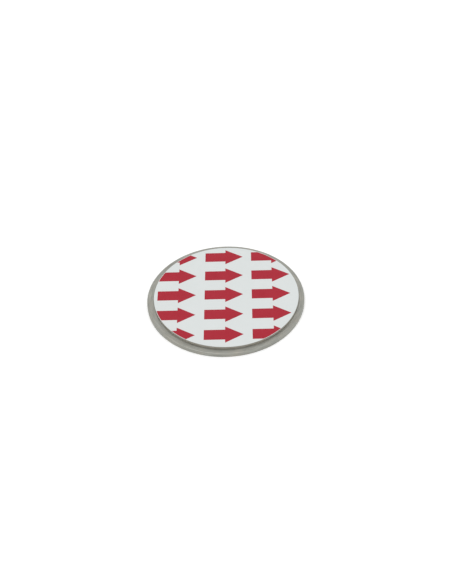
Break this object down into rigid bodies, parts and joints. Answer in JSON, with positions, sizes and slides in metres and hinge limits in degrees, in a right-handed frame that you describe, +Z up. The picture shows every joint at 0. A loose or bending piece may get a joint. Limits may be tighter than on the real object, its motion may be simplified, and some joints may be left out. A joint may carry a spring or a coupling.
{
  "type": "adhesive metal plate",
  "caption": "Round steel plate for a magnet mount, with a foam tape disc on its face under a printed release liner.",
  "frame": {"origin": "centre of the plate's bare underside, in the plane that it rests on", "axes": "+Z up through the tape and the liner, along the disc's axis; +X along the printed rows, to the right in the picture; +Y away from the viewer"},
  "size_m": [0.07, 0.07, 0.0031],
  "materials": {
    "steel": "satin",
    "foam": "matte",
    "liner_paper": "satin",
    "red_ink": "satin"
  },
  "bodies": {
    "root": {"steel_plate": "steel", "adhesive_pad": "foam", "release_liner": "liner_paper", "liner_print": "red_ink"}
  },
  "joints": []
}
